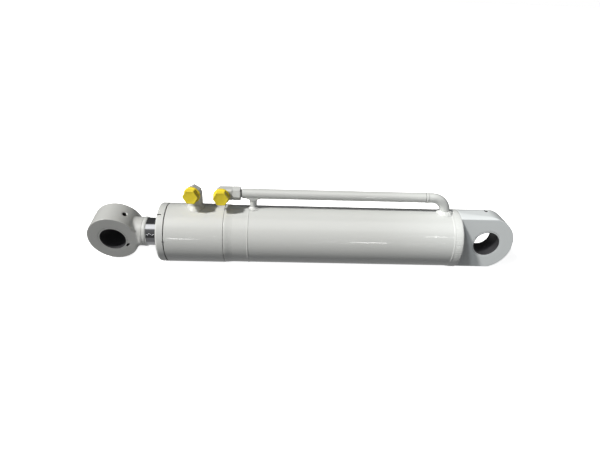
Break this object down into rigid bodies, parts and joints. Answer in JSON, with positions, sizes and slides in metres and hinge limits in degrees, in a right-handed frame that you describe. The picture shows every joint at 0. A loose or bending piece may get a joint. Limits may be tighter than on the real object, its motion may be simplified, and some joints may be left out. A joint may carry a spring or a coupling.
{
  "type": "hydraulic cylinder",
  "caption": "Double-acting hydraulic cylinder with pin eyes at both ends, a welded cap, a screwed gland and an outside oil pipe to plugged elbow ports.",
  "frame": {"origin": "centre of the cap-end pin bore", "axes": "+X along the barrel from the rod end to the cap end, +Y along the cap-end pin, +Z to the side that carries the ports and the oil pipe"},
  "size_m": [0.96, 0.1346, 0.1873],
  "materials": {
    "off_white_paint": "gloss",
    "hard_chrome": "polished",
    "bush_steel": "machined",
    "plain_steel": "machined",
    "yellow_plastic": "gloss",
    "black_rubber": "matt",
    "seal_polyurethane": "satin",
    "seal_bronze_ptfe": "satin",
    "backup_plastic": "satin",
    "guide_bronze": "machined",
    "wear_ring_resin": "satin"
  },
  "bodies": {
    "barrel": {"barrel_tube": "off_white_paint", "head_collar": "off_white_paint", "head_weld": "off_white_paint", "cap_end": "off_white_paint", "cap_weld": "off_white_paint", "cap_eye_bush": "bush_steel", "gland": "off_white_paint", "gland_o_ring": "black_rubber", "gland_backup_ring": "backup_plastic", "gland_lock_screw": "plain_steel", "rod_guide_bush": "guide_bronze", "buffer_seal": "seal_bronze_ptfe", "rod_seal": "seal_polyurethane", "rod_wiper": "black_rubber", "port_elbow_rod_side": "off_white_paint", "port_elbow_weld": "off_white_paint", "port_elbow_cap_side": "off_white_paint", "pipe_nut": "off_white_paint", "pipe_nipple": "off_white_paint", "oil_pipe": "off_white_paint", "pipe_joint_weld": "off_white_paint", "pipe_bend": "off_white_paint", "pipe_foot_weld": "off_white_paint", "pipe_post": "off_white_paint", "post_foot_weld": "off_white_paint", "post_top_weld": "off_white_paint"},
    "piston_rings": {"piston_seal": "seal_bronze_ptfe", "piston_seal_energizer": "black_rubber", "piston_wear_rings": "wear_ring_resin"},
    "rod": {"piston_rod": "hard_chrome", "rod_eye": "off_white_paint", "rod_eye_weld": "off_white_paint", "rod_eye_bush": "bush_steel", "piston": "plain_steel", "piston_o_ring": "black_rubber", "piston_nut": "plain_steel", "piston_nut_screw": "plain_steel"},
    "rod_side_plug": {"port_plug_rod_side": "yellow_plastic", "plug_washer_rod_side": "black_rubber"},
    "cap_side_plug": {"port_plug_cap_side": "yellow_plastic", "plug_washer_cap_side": "black_rubber"}
  },
  "joints": [
    {"name": "rod_extend", "type": "slide", "parent": "barrel", "child": "piston_rings", "axis": [-1, 0, 0], "range_m": [0, 0.48]},
    {"name": "rod_turn", "type": "hinge", "parent": "piston_rings", "child": "rod", "pos_m": [-0.16, 0, 0], "axis": [1, 0, 0], "continuous": true},
    {"name": "rod_side_plug_out", "type": "slide", "parent": "barrel", "child": "rod_side_plug", "axis": [-0.1132, -0.9936, 0], "range_m": [0, 0.03]},
    {"name": "cap_side_plug_out", "type": "slide", "parent": "barrel", "child": "cap_side_plug", "axis": [0, -1, 0], "range_m": [0, 0.03]}
  ]
}
